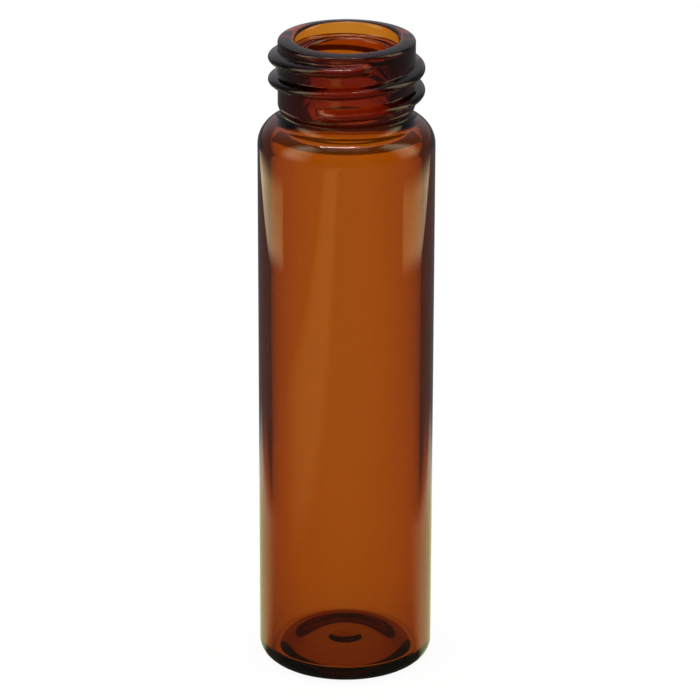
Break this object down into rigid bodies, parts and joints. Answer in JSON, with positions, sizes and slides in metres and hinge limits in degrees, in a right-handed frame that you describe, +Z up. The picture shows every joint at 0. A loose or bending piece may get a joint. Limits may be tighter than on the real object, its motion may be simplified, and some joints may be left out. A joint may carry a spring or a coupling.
{
  "type": "screw-neck glass sample vial",
  "caption": "Amber glass sample vial, open: straight round body on a pushed-up base, rolled shoulder and short right-hand screw neck.",
  "frame": {"origin": "centre of the foot, on the surface that the vial stands on", "axes": "+Z up along the vial's axis, out of the mouth; -Y is the side where both ends of the thread lie"},
  "size_m": [0.0164, 0.0164, 0.0618],
  "materials": {
    "amber_glass": "clear polished amber glass, brown-orange where thin and near black where thick"
  },
  "bodies": {
    "root": {"vial": "amber_glass"}
  },
  "joints": []
}
